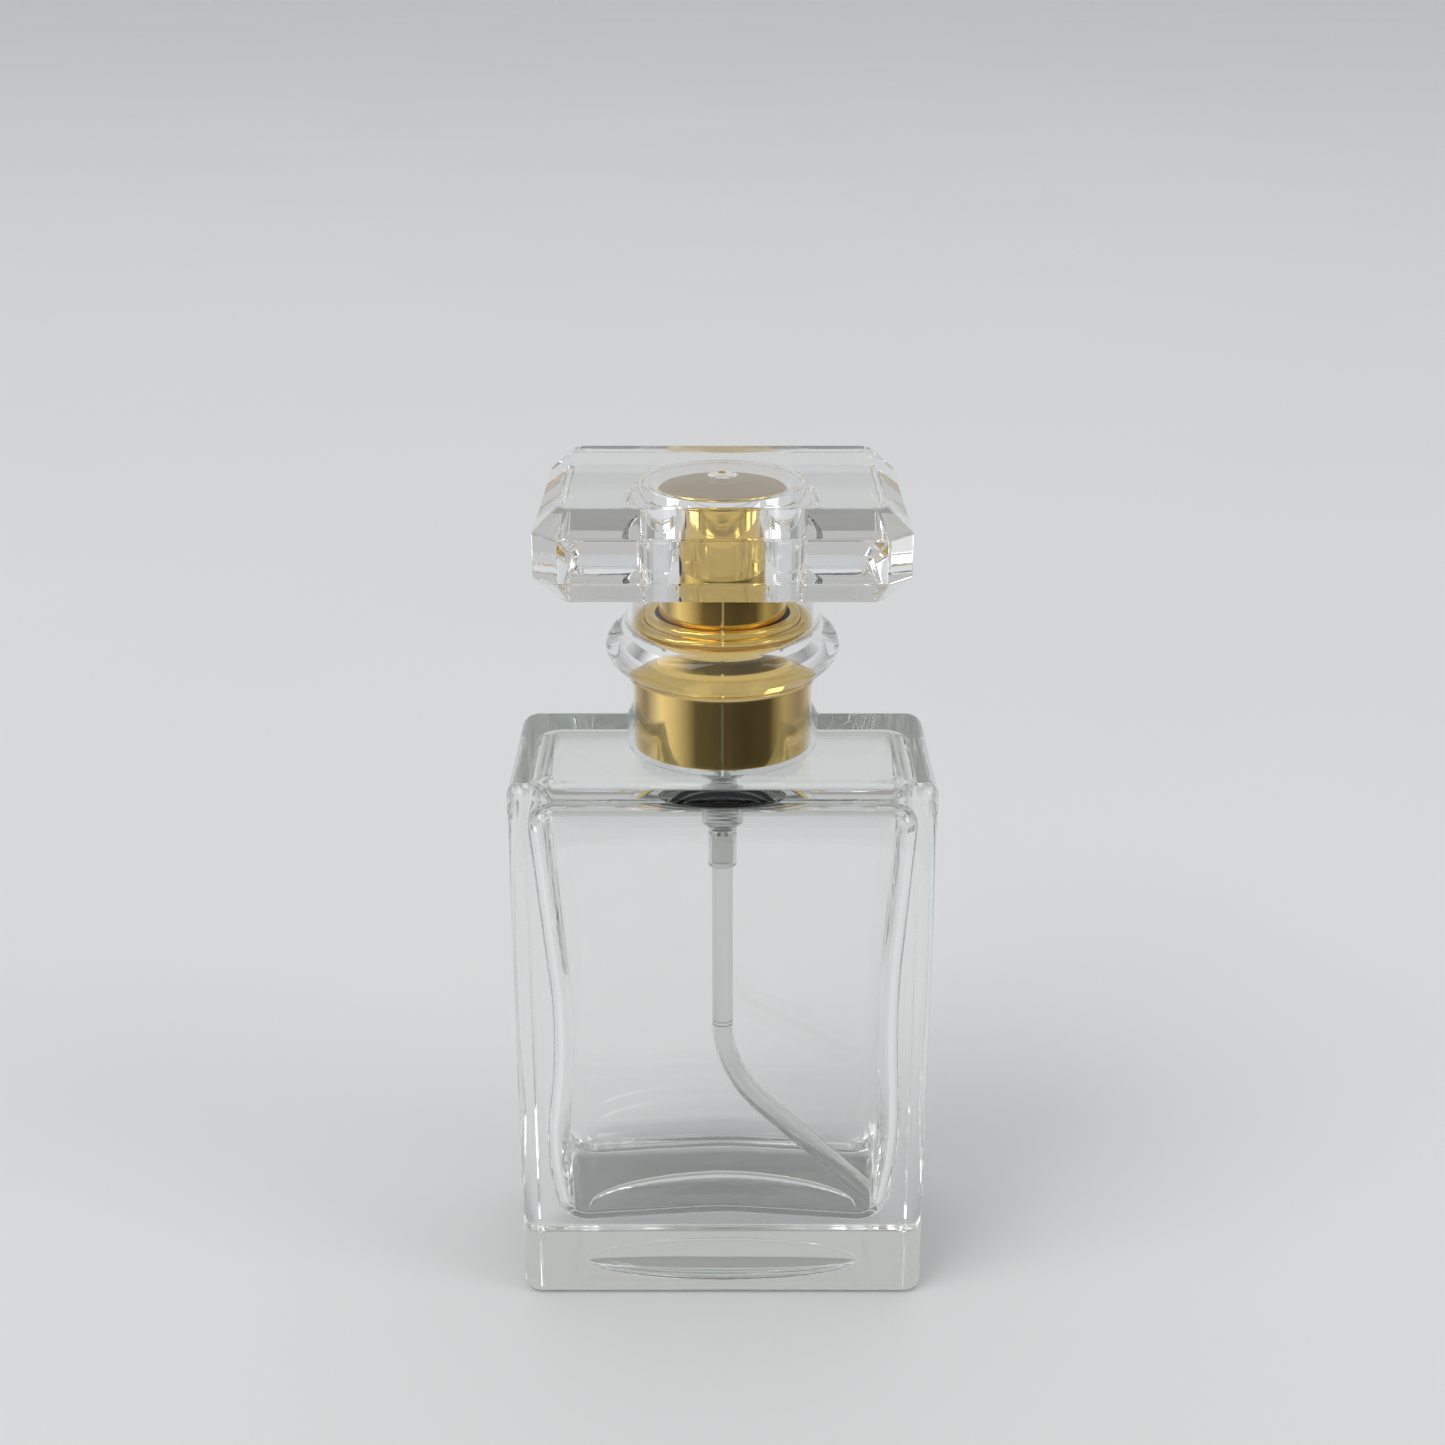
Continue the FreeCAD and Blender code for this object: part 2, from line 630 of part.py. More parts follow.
def dip_tube():
    """Clear tube from the pump's tail, bent once to the foot's front corner."""
    body = new_body("dip_tube")
    places = [("0", inlet_foot), ("0", bend_start), (bend_across, bend_foot),
              (tube_reach, "tube_end_level")]
    top, knee, turn, end = [FreeCAD.Vector(amount(across), amount(up), 0) for across, up in places]
    radius = amount("tube_bend")
    arc = Part.ArcOfCircle(
        Part.Circle(knee + FreeCAD.Vector(radius, 0, 0), FreeCAD.Vector(0, 0, 1), radius),
        math.pi, math.pi + math.radians(amount("tube_sweep")))
    path = new_sketch(body, "XZ_Plane")
    lines = [Part.LineSegment(top, knee), arc, Part.LineSegment(turn, end)]
    run, bend, tail = path.addGeometry(lines, False)
    path.addConstraint(Sketcher.Constraint("Coincident", bend, 2, tail, 1))
    path.addConstraint(Sketcher.Constraint("Tangent", run, 2, bend, 1))
    for (across, up), (line, point) in zip(places, ((run, 1), (run, 2), (tail, 1), (tail, 2))):
        hold(path, "DistanceX", line, point, across)
        hold(path, "DistanceY", line, point, up)
    for width, kind in (("tube_width", "PartDesign::AdditivePipe"),
                        ("(tube_width - 2 * tube_wall)", "PartDesign::SubtractivePipe")):
        section = new_sketch(body, "XY_Plane", inlet_foot)
        draw_circle(section, "0", "0", width)
        pipe = body.newObject(kind, "tube_run")
        pipe.Profile = section
        pipe.Spine = (path, ["Edge1", "Edge2", "Edge3"])
        doc.recompute()
    body.Placement.Rotation = FreeCAD.Rotation(FreeCAD.Vector(0, 0, 1), 0)
    body.setExpression("Placement.Rotation.Angle", tie("tube_heading"))
    return body


# ---- actuator ----

def turn_to_spray(body):
    body.setExpression("Placement.Rotation.Angle", tie("spray_turn"))


def actuator_core():
    """Plastic core: stem socket, feed passages and the insert's pocket."""
    foot = f"({shell_foot} + core_foot)"
    top = f"({shell_top} - shell_wall - fit_gap)"
    socket = "(stem_width / 2 + fit_gap)"
    socket_top = f"({stem_top} + piston_slip)"
    post = f"({socket} + socket_wall)"
    rim = f"({core_radius} - core_wall)"
    pocket_top = f"({foot} + core_pocket)"
    riser_top = f"({spray_height} + feed_bore)"
    return turned("actuator_core", [
        (socket, foot), (post, foot), (post, pocket_top), (rim, pocket_top), (rim, foot),
        (core_radius, foot), (core_radius, top), ("0", top),
        ("0", riser_top), ("riser_bore / 2", riser_top),
        ("riser_bore / 2", socket_top), (socket, socket_top)])


def drill_core(body):
    """Drill the core for the insert and for the passage that feeds it."""
    before = body.Shape.Volume
    pocket = f"({core_radius} - insert_length)"
    for width, far, near_end in (("(insert_width + 2 * fit_gap)", "actuator_width", pocket),
                                 ("feed_bore", pocket, "0")):
        sketch = new_sketch(body, "XZ_Plane", near_end)
        draw_circle(sketch, "0", spray_height, width)
        extrude(body, sketch, f"{far} - {near_end}", "PartDesign::Pocket", reverse=True)
        doc.recompute()
        expect_less(body, before)
        before = body.Shape.Volume
    turn_to_spray(body)
    return body


def actuator_shell():
    """Gold shell pressed over the core, with a window for the nozzle."""
    outer = "actuator_width / 2"
    inner = "(actuator_width / 2 - shell_wall)"
    under = f"({shell_top} - shell_wall)"
    body = turned("actuator_shell", [
        ("0", under), (inner, under), (inner, shell_foot), (outer, shell_foot),
        (outer, shell_top), ("0", shell_top)])
    soften(body, ring_edge("actuator_width", shell_top), "shell_round")
    before = body.Shape.Volume
    sketch = new_sketch(body, "XZ_Plane", "actuator_width / 4")
    draw_circle(sketch, "0", spray_height, "spray_window")
    extrude(body, sketch, "actuator_width", "PartDesign::Pocket", reverse=True)
    doc.recompute()
    expect_less(body, before)
    turn_to_spray(body)
    return body


def nozzle_insert():
    """Small swirl insert with a dished face and the spray orifice."""
    body = new_body("nozzle_insert")
    back = f"({core_radius} - insert_length)"
    face = f"sqrt({core_radius} ^ 2 - insert_width ^ 2 / 4)"
    plug = new_sketch(body, "XZ_Plane", back)
    draw_circle(plug, "0", spray_height, "insert_width")
    extrude(body, plug, f"{face} - {back}")
    doc.recompute()
    cuts = (("insert_dish", f"{face} - insert_dish_depth"), ("spray_hole", back))
    for width, floor in cuts:
        before = body.Shape.Volume
        sketch = new_sketch(body, "XZ_Plane", floor)
        draw_circle(sketch, "0", spray_height, width)
        extrude(body, sketch, core_radius, "PartDesign::Pocket", reverse=True)
        doc.recompute()
        expect_less(body, before)
    turn_to_spray(body)
    return body


# ---- cap ----

def cut_corner_plan(inset):
    """Corners of the slab's plan, moved inwards by an inset."""
    width = f"(slab_width / 2 - {inset})"
    depth = f"(slab_depth / 2 - {inset})"
    leg = f"(slab_corner - {inset} * (2 - sqrt(2)))"
    corners = []
    for x_sign, y_sign, side_first in ((1, -1, False), (1, 1, True), (-1, 1, False), (-1, -1, True)):
        on_side = (f"({x_sign} * {width})", f"({y_sign} * ({depth} - {leg}))")
        on_end = (f"({x_sign} * ({width} - {leg}))", f"({y_sign} * {depth})")
        corners += [on_side, on_end] if side_first else [on_end, on_side]
    return corners


def cap():
    """Clear cap: faceted slab over a sleeve with a rounded ring."""
    body = new_body("cap")
    levels = (("pavilion_inset", slab_foot), ("0", girdle_foot), ("0", girdle_top),
              ("crown_inset", cap_top))
    plans = []
    for inset, level in levels:
        sketch = new_sketch(body, "XY_Plane", level)
        draw_outline(sketch, cut_corner_plan(inset))
        plans.append(sketch)
    slab = body.newObject("PartDesign::AdditiveLoft", "slab")
    slab.Profile = plans[0]
    slab.Sections = plans[1:]
    slab.Ruled = True
    doc.recompute()

    sleeve = new_sketch(body, "XY_Plane", sleeve_foot)
    draw_circle(sleeve, "0", "0", f"(2 * ({collar_bore} + sleeve_wall))")
    extrude(body, sleeve, f"{girdle_foot} - {sleeve_foot}")
    ring = new_sketch(body, "XZ_Plane")
    draw_circle(ring, f"({collar_bore} + ring_out)", ring_level, "ring_section")
    revolve(body, ring)
    doc.recompute()

    step = f"({lip_top} + cap_step)"
    turned_cut(body, [
        ("0", sleeve_foot), (collar_bore, sleeve_foot), (collar_bore, step),
        (f"{hood_bore} / 2", step), (f"{hood_bore} / 2", hood_top), ("0", hood_top)])
    soften(body, ring_edge(hood_bore, hood_top), "hood_round")

    before = body.Shape.Volume
    gate = new_sketch(body, "XY_Plane", cap_top)
    draw_circle(gate, "0", "0", "gate_width")
    extrude(body, gate, "gate_depth", "PartDesign::Pocket")
    doc.recompute()
    expect_less(body, before)
    return body


# ---- build, check and write ----

def check_document():
    """Stop if any object of the document is in a failed state."""
    for item in doc.Objects:
        faults = [state for state in item.State if state in ("Invalid", "Error")]
        if faults:
            raise RuntimeError(f"{item.Label} is {faults}")


def check_piece(piece):
    shape = piece.Shape
    if shape.isNull() or not shape.isValid() or not shape.Solids:
        raise RuntimeError(f"{piece.Label} has no valid solid")
    if len(shape.Solids) != 1:
        raise RuntimeError(f"{piece.Label} fell into {len(shape.Solids)} solids")


def main():
    fill_sheet()
    pieces = [
        glass_bottle(), neck_gasket(), ferrule(), collar_liner(), collar(),
        pump_housing(), turret(), stem_seal(), stem(), piston(), outlet_poppet(),
        return_spring(), inlet_ball(), dip_tube(), drill_core(actuator_core()),
        actuator_shell(), nozzle_insert(), cap()]
    doc.recompute()
    check_document()
    for piece in pieces:
        check_piece(piece)
    os.makedirs("parts", exist_ok=True)
    for piece in pieces:
        piece.Shape.exportStep(f"parts/{piece.Label}.step")
        box = piece.Shape.BoundBox
        print(f"{piece.Label:16s} {piece.Shape.Volume:10.3f} mm3"
              f"  x {box.XMin:.2f} {box.XMax:.2f}  y {box.YMin:.2f} {box.YMax:.2f}"
              f"  z {box.ZMin:.2f} {box.ZMax:.2f}")


main()
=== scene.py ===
import math
import bmesh
import bpy
from mathutils import Matrix, Vector


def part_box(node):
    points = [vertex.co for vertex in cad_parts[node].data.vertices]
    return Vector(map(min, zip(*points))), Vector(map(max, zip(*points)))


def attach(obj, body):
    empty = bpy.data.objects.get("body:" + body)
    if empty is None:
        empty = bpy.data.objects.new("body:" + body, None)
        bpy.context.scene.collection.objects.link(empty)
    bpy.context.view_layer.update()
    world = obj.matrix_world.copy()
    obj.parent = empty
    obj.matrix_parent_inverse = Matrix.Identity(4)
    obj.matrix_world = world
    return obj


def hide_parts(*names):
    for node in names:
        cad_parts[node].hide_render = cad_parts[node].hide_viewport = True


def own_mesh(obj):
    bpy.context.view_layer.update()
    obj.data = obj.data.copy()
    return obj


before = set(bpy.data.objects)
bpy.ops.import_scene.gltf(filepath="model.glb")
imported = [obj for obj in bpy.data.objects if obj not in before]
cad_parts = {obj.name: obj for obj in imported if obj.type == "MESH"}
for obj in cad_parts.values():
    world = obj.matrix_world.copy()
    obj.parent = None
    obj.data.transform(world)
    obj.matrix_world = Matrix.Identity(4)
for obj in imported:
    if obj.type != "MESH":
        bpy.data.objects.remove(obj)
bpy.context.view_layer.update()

MM = 0.001
TURN = 2 * math.pi


# ---- places read from the frame, in millimetres ----

def low(node):
    """A node's lowest corner, in millimetres."""
    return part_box(node)[0] / MM


def high(node):
    """A node's highest corner, in millimetres."""
    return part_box(node)[1] / MM


GLASS_WIDTH = high("glass_bottle").x * 2
GLASS_DEPTH = high("glass_bottle").y * 2
NECK_TOP = high("glass_bottle").z
CAP_TOP = high("cap").z
CAP_FOOT = low("cap").z
CAP_GAP = 0.7
SHOULDER = CAP_FOOT - CAP_GAP
ROOF = SHOULDER - 2.7
LIP_RISE = 0.5
COLLAR_FOOT = low("collar").z
COLLAR_TOP = high("collar").z - LIP_RISE
COLLAR_RADIUS = 9.0
BUTTON_FOOT = low("actuator_shell").z
BUTTON_TOP = high("actuator_shell").z
BUTTON_RADIUS = high("actuator_shell").x
SPRAY_TURN = -60
SPRAY_LEVEL = BUTTON_FOOT + 6.9
SPRING_FOOT = low("return_spring").z
SPRING_TOP = high("return_spring").z
TAIL_FOOT = low("pump_housing").z
TUBE_TOP = high("dip_tube").z


# ---- meshes ----

def lathe(corners, rounds=None, steps=160):
    """Spin a half section of (radius, height) corners round the axis.

    rounds gives the softening of a corner by its place in the list.
    """
    rounds = rounds or {}
    bm = bmesh.new()
    spots = [bm.verts.new((radius, 0, height)) for radius, height in corners]
    closed = corners[0][0] > 0 or corners[-1][0] > 0
    pairs = list(zip(spots, spots[1:])) + ([(spots[-1], spots[0])] if closed else [])
    for pair in pairs:
        bm.edges.new(pair)
    chosen = [(spots[place], size) for place, size in rounds.items()]
    for spot, size in chosen:
        bmesh.ops.bevel(bm, geom=[spot], affect="VERTICES", offset=size, offset_type="OFFSET",
                        segments=8, profile=0.5, material=-1)
    bmesh.ops.spin(bm, geom=bm.verts[:] + bm.edges[:], axis=(0, 0, 1), cent=(0, 0, 0),
                   dvec=(0, 0, 0), angle=TURN, steps=steps, use_merge=True)
    bmesh.ops.remove_doubles(bm, verts=bm.verts[:], dist=1e-5)
    bmesh.ops.recalc_face_normals(bm, faces=bm.faces[:])
    return bm


def round_edges(bm, wanted, size, segments):
    """Bevel the edges that a test picks."""
    edges = [edge for edge in bm.edges if wanted(edge)]
    bmesh.ops.bevel(bm, geom=edges, affect="EDGES", offset=size, offset_type="OFFSET",
                    segments=segments, profile=0.5, material=-1)


def turn_about(bm, axis, degrees):
    """Turn a whole bmesh about the X, Y or Z axis."""
    bmesh.ops.rotate(bm, cent=(0, 0, 0), matrix=Matrix.Rotation(math.radians(degrees), 3, axis),
                     verts=bm.verts[:])


def runs_along(edge, axis):
    """Whether an edge runs along one of the axes 0, 1 or 2."""
    way = edge.verts[1].co - edge.verts[0].co
    return abs(way[axis]) > 0.999 * way.length


def lies_at(edge, axis, place):
    return all(abs(vert.co[axis] - place) < 1e-4 for vert in edge.verts)


def pull(bm, faces, way):
    """Pull faces along a way and give the faces at the far end."""
    grown = bmesh.ops.extrude_face_region(bm, geom=faces)["geom"]
    spots = [item for item in grown if isinstance(item, bmesh.types.BMVert)]
    bmesh.ops.translate(bm, vec=way, verts=spots)
    bmesh.ops.delete(bm, geom=[face for face in faces if face.is_valid], context="FACES_ONLY")
    return [item for item in grown if isinstance(item, bmesh.types.BMFace)]


def as_object(bm, name):
    """Turn a bmesh in millimetres into an object in metres."""
    bmesh.ops.scale(bm, vec=(MM, MM, MM), verts=bm.verts[:])
    mesh = bpy.data.meshes.new(name)
    bm.to_mesh(mesh)
    bm.free()
    made = bpy.data.objects.new(name, mesh)
    bpy.context.scene.collection.objects.link(made)
    return made


def combine(piece, other, operation):
    """Join another object to a piece or cut it away, and remove the other."""
    change = piece.modifiers.new(operation, "BOOLEAN")
    change.operation = operation
    change.solver = "EXACT"
    change.object = other
    bpy.context.view_layer.update()
    graph = bpy.context.evaluated_depsgraph_get()
    mesh = bpy.data.meshes.new_from_object(piece.evaluated_get(graph))
    piece.modifiers.clear()
    piece.data = mesh
    bpy.data.objects.remove(other)


def smooth(piece, sharp_degrees=32):
    """Shade a piece smooth, with creases where its faces turn sharply."""
    bm = bmesh.new()
    bm.from_mesh(piece.data)
    bmesh.ops.remove_doubles(bm, verts=bm.verts[:], dist=2e-7)
    bmesh.ops.dissolve_degenerate(bm, edges=bm.edges[:], dist=1e-7)
    for face in bm.faces:
        face.smooth = True
    for edge in bm.edges:
        turned = edge.calc_face_angle(math.pi) if len(edge.link_faces) == 2 else math.pi
        edge.smooth = turned < math.radians(sharp_degrees)
    bm.to_mesh(piece.data)
    bm.free()
    weigh = piece.modifiers.new("even_shading", "WEIGHTED_NORMAL")
    weigh.keep_sharp = True
    weigh.weight = 100


def settle(piece, body, nodes, material):
    """Give a finished piece its body and its finish, and hide the nodes it stands for."""
    piece.data.materials.clear()
    piece.data.materials.append(material)
    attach(piece, body)
    if nodes:
        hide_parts(*nodes)
    return piece


# ---- shader maths ----

class Link:
    """A shader output that takes part in Python arithmetic."""

    def __init__(self, shader, socket):
        self.shader = shader
        self.socket = socket

    def __add__(self, other):
        return self.shader.maths("ADD", self, other)

    def __radd__(self, other):
        return self.shader.maths("ADD", other, self)

    def __sub__(self, other):
        return self.shader.maths("SUBTRACT", self, other)

    def __rsub__(self, other):
        return self.shader.maths("SUBTRACT", other, self)

    def __mul__(self, other):
        return self.shader.maths("MULTIPLY", self, other)

    def __rmul__(self, other):
        return self.shader.maths("MULTIPLY", other, self)

    def __lt__(self, other):
        return self.shader.maths("LESS_THAN", self, other)

    def __gt__(self, other):
        return self.shader.maths("GREATER_THAN", self, other)


class Shader:
    """One material and the nodes it is made of."""

    def __init__(self, name):
        self.material = bpy.data.materials.new(name)
        self.material.use_nodes = True
        self.tree = self.material.node_tree
        self.tree.nodes.clear()
        self.place = self.add("ShaderNodeTexCoord", {}, {}, "Object")

    def add(self, kind, settings, sockets, output):
        """Add a node, set it up, feed its sockets and give one of its outputs."""
        node = self.tree.nodes.new(kind)
        for name, value in settings.items():
            setattr(node, name, value)
        for name, value in sockets.items():
            if isinstance(value, Link):
                self.tree.links.new(value.socket, node.inputs[name])
            else:
                node.inputs[name].default_value = value
        return Link(self, node.outputs[output])

    def maths(self, operation, first, second):
        return self.add("ShaderNodeMath", {"operation": operation}, {0: first, 1: second}, 0)

    def noise(self, scale, detail=2.0, stretch=(1, 1, 1)):
        """Noise over the piece, from 0 to 1; scale is in bumps per metre."""
        spot = self.add("ShaderNodeMapping", {}, {"Vector": self.place, "Scale": stretch}, 0)
        return self.add("ShaderNodeTexNoise", {}, {"Vector": spot, "Scale": scale, "Detail": detail},
                        "Fac")

    def between(self, value, start, end, first, last):
        """Map a value's stretch onto another, without leaving it."""
        return self.add("ShaderNodeMapRange", {}, {
            "Value": value, "From Min": start, "From Max": end, "To Min": first, "To Max": last}, 0)

    def blend(self, share, first, second):
        """Mix two colours."""
        return self.add("ShaderNodeMix", {"data_type": "RGBA"}, {0: share, 6: first, 7: second}, 2)

    def bump(self, height, strength, distance):
        return self.add("ShaderNodeBump", {}, {
            "Height": height, "Strength": strength, "Distance": distance}, 0)

    def place_along(self, axis):
        """Where a point lies along X, Y or Z, in metres."""
        return self.add("ShaderNodeSeparateXYZ", {}, {0: self.place}, axis)

    def bands(self, stops, opening):
        """Light that changes with the way round the axis, from the left of the back.

        Only mirrored light meets it: looking straight through clear glass doesn't.
        """
        way = self.maths("ARCTAN2", 0.0 - self.place_along("X"), self.place_along("Y"))
        way = way + (way < 0.0) * TURN
        share = (way - opening) * (1.0 / (TURN - 2 * opening))
        ramp = self.tree.nodes.new("ShaderNodeValToRGB")
        elements = ramp.color_ramp.elements
        for at, light in stops[1:-1]:
            elements.new(at)
        for stop, (at, light) in zip(elements, stops):
            stop.position, stop.color = at, rgb(light, light, light)
        self.tree.links.new(share.socket, ramp.inputs[0])
        glow = self.add("ShaderNodeEmission", {}, {"Color": Link(self, ramp.outputs[0])}, 0)
        clear = self.add("ShaderNodeBsdfTransparent", {}, {}, 0)
        mirrored = 0.5 < self.add("ShaderNodeLightPath", {}, {}, "Glossy Depth")
        return self.add("ShaderNodeMixShader", {}, {0: mirrored, 1: clear, 2: glow}, 0)

    def surface(self, sockets):
        return self.add("ShaderNodeBsdfPrincipled", {}, sockets, 0)

    def done(self, surface, volume=None):
        sockets = {"Surface": surface}
        if volume:
            sockets["Volume"] = volume
        node = self.tree.nodes.new("ShaderNodeOutputMaterial")
        for name, value in sockets.items():
            self.tree.links.new(value.socket, node.inputs[name])
        return self.material


def rgb(red, green, blue):
    return (red, green, blue, 1.0)


# ---- materials ----

def clear_material(name, colour, shade, index, smudge, ripple, absorption=None):
    """Glass or clear plastic: faint smudges, a slow ripple and a tinted body."""
    shader = Shader(name)
    film = shader.noise(260, 3)
    slow = shader.noise(75, 1)
    fine = shader.noise(900, 2)
    colour_mix = shader.blend(shader.between(film, 0.35, 0.7, 0, 1), colour, shade)
    rough = shader.between(film, 0.45, 0.75, smudge * 0.2, smudge)
    wave = slow + fine * 0.03
    surface = shader.surface({
        "Base Color": colour_mix, "Roughness": rough, "IOR": index, "Transmission Weight": 1.0,
        "Normal": shader.bump(wave, ripple, 0.0004)})
    volume = None
    if absorption:
        tint, density = absorption
        volume = shader.add("ShaderNodeVolumeAbsorption", {}, {"Color": tint, "Density": density}, 0)
    return shader.done(surface, volume)


def metal_material(name, colour, shade, roughness, grain, stretch=(1, 1, 1)):
    """Metal with a fine drawn grain and a little colour drift."""
    shader = Shader(name)
    drift = shader.noise(120, 3)
    line = shader.noise(2500, 4, stretch)
    colour_mix = shader.blend(shader.between(drift, 0.3, 0.7, 0, 1), colour, shade)
    rough = shader.between(line, 0.3, 0.7, roughness[0], roughness[1])
    surface = shader.surface({
        "Base Color": colour_mix, "Roughness": rough, "Metallic": 1.0,
        "Normal": shader.bump(line, grain, 0.00005)})
    return shader.done(surface)


def button_material():
    """Gold that is satin on the button's top and polished down its side."""
    shader = Shader("gold_button")
    top = shader.between(shader.place_along("Z"), (BUTTON_TOP - 0.3) * MM,
                         (BUTTON_TOP - 0.05) * MM, 0, 1)
    drift = shader.noise(150, 3)
    grit = shader.noise(9000, 3)
    side = shader.blend(drift, rgb(0.82, 0.59, 0.18), rgb(0.74, 0.51, 0.13))
    face = shader.blend(drift, rgb(0.66, 0.50, 0.26), rgb(0.60, 0.45, 0.22))
    surface = shader.surface({
        "Base Color": shader.blend(top, side, face), "Metallic": 1.0,
        "Roughness": 0.06 + drift * 0.05 + top * (0.36 + grit * 0.1),
        "Normal": shader.bump(grit * top, 0.4, 0.00004)})
    return shader.done(surface)


def plastic_material(name, colour, shade, roughness, grain=0.15):
    """Opaque or milky moulded plastic, or rubber."""
    shader = Shader(name)
    cloud = shader.noise(300, 3)
    fine = shader.noise(5000, 3)
    surface = shader.surface({
        "Base Color": shader.blend(cloud, colour, shade),
        "Roughness": shader.between(fine, 0.3, 0.7, roughness * 0.8, roughness * 1.2),
        "Normal": shader.bump(fine, grain, 0.00005)})
    return shader.done(surface)


def milky_material(name, colour, shade, roughness, see_through, cloudy_above=None):
    """Translucent plastic: part clear, part milky, and cloudy above a level if asked."""
    shader = Shader(name)
    cloud = shader.noise(400, 3)
    fine = shader.noise(4000, 2)
    surface = shader.surface({
        "Base Color": shader.blend(cloud, colour, shade),
        "Roughness": shader.between(fine, 0.3, 0.7, roughness * 0.7, roughness * 1.3),
        "IOR": 1.5, "Transmission Weight": see_through,
        "Normal": shader.bump(fine, 0.1, 0.00005)})
    if cloudy_above:
        start, end = cloudy_above
        share = shader.between(shader.place_along("Z"), start * MM, end * MM, 0, 1)
        cloudy = shader.surface({"Base Color": colour, "Roughness": 0.4})
        surface = shader.add("ShaderNodeMixShader", {}, {0: share, 1: surface, 2: cloudy}, 0)
    return shader.done(surface)


GLASS = clear_material("flint_glass", rgb(0.985, 0.992, 0.988), rgb(0.97, 0.982, 0.976), 1.52,
                       0.02, 0.12, (rgb(0.78, 0.88, 0.82), 5.0))
CAP_CLEAR = clear_material("clear_cap_plastic", rgb(0.99, 0.992, 0.992), rgb(0.975, 0.98, 0.982),
                           1.49, 0.03, 0.04, (rgb(0.85, 0.88, 0.90), 4.0))
GOLD = metal_material("gold_collar_mirror", rgb(0.82, 0.59, 0.18), rgb(0.74, 0.51, 0.13),
                      (0.05, 0.11), 0.04, (1, 1, 0.08))
BUTTON_GOLD = button_material()
ALUMINIUM = metal_material("plain_aluminium", rgb(0.80, 0.80, 0.79), rgb(0.72, 0.72, 0.71),
                           (0.2, 0.32), 0.1, (1, 1, 0.1))
STEEL = metal_material("spring_wire_steel", rgb(0.60, 0.59, 0.58), rgb(0.48, 0.48, 0.47),
                       (0.15, 0.28), 0.08)
RUBBER = plastic_material("gasket_rubber", rgb(0.62, 0.62, 0.60), rgb(0.52, 0.52, 0.50), 0.6, 0.3)
LINER = plastic_material("natural_liner", rgb(0.84, 0.83, 0.79), rgb(0.76, 0.75, 0.71), 0.4)
WHITE = plastic_material("white_plastic", rgb(0.84, 0.84, 0.82), rgb(0.78, 0.78, 0.76), 0.32)
INSERT = plastic_material("dark_insert", rgb(0.10, 0.09, 0.08), rgb(0.07, 0.065, 0.06), 0.35)
HOUSING = milky_material("milky_housing", rgb(0.93, 0.94, 0.93), rgb(0.88, 0.89, 0.88), 0.08, 0.93,
                         cloudy_above=(SPRING_TOP - 6.0, SPRING_TOP - 4.0))
TUBE = milky_material("milky_tube", rgb(0.96, 0.97, 0.96), rgb(0.92, 0.93, 0.92), 0.08, 0.94)


# ---- glass bottle ----

def glass_outside():
    """Straight block with rounded edges."""
    upright_round, shoulder_round, foot_round = 1.9, 1.5, 1.0
    bm = bmesh.new()
    bmesh.ops.create_cube(bm, size=1.0)
    bmesh.ops.scale(bm, vec=(GLASS_WIDTH, GLASS_DEPTH, SHOULDER), verts=bm.verts[:])
    bmesh.ops.translate(bm, vec=(0, 0, SHOULDER / 2), verts=bm.verts[:])
    round_edges(bm, lambda edge: runs_along(edge, 2), upright_round, 8)
    round_edges(bm, lambda edge: lies_at(edge, 2, SHOULDER), shoulder_round, 8)
    round_edges(bm, lambda edge: lies_at(edge, 2, 0), foot_round, 6)
    return as_object(bm, "glass_body")


def glass_neck():
    """Crimp neck with its bead."""
    neck, bead, bead_round = 6.5, 7.5, 0.6
    root, bead_foot = SHOULDER - 1, NECK_TOP - 3.9
    bm = lathe([(0, root), (neck, root), (neck, bead_foot), (bead, bead_foot),
                (bead, NECK_TOP), (0, NECK_TOP)], {3: bead_round, 4: bead_round}, 96)
    return as_object(bm, "neck")


def glass_inside():
    """The inside: flat front and back, side walls that swell and narrow unevenly."""
    half_depth, half_width = GLASS_DEPTH / 2 - 2.6, GLASS_WIDTH / 2
    floor, middle = 7.4, 8.7
    left_belly, left_waist, right_belly, right_waist = 16.0, 30.0, 17.0, 34.0
    foot_side, belly_side, top_side = half_width - 4.1, half_width - 2.4, half_width - 1.5
    right = [(foot_side, floor), (belly_side, right_belly), (half_width - 3.2, right_waist),
             (top_side, ROOF)]
    left = [(-top_side, ROOF), (4.1 - half_width, left_waist), (-belly_side, left_belly),
            (-foot_side, floor)]
    bm = bmesh.new()
    face = bm.faces.new([bm.verts.new((x, -half_depth, z)) for x, z in [(0, middle)] + right + left])
    pulled = bmesh.ops.extrude_face_region(bm, geom=[face])
    moved = [item for item in pulled["geom"] if isinstance(item, bmesh.types.BMVert)]
    bmesh.ops.translate(bm, vec=(0, 2 * half_depth, 0), verts=moved)
    bmesh.ops.recalc_face_normals(bm, faces=bm.faces[:])

    def bend(level):
        return lambda edge: runs_along(edge, 1) and lies_at(edge, 2, level)
    for level, size, steps in ((middle, 2.2, 6), (right_belly, 4.0, 8), (right_waist, 5.5, 8),
                               (left_belly, 4.0, 8), (left_waist, 6.0, 10), (floor, 3.1, 8),
                               (ROOF, 3.1, 8)):
        round_edges(bm, bend(level), size, steps)
    round_edges(bm, lambda edge: lies_at(edge, 1, half_depth) or lies_at(edge, 1, -half_depth),
                2.7, 9)
    return as_object(bm, "inside")


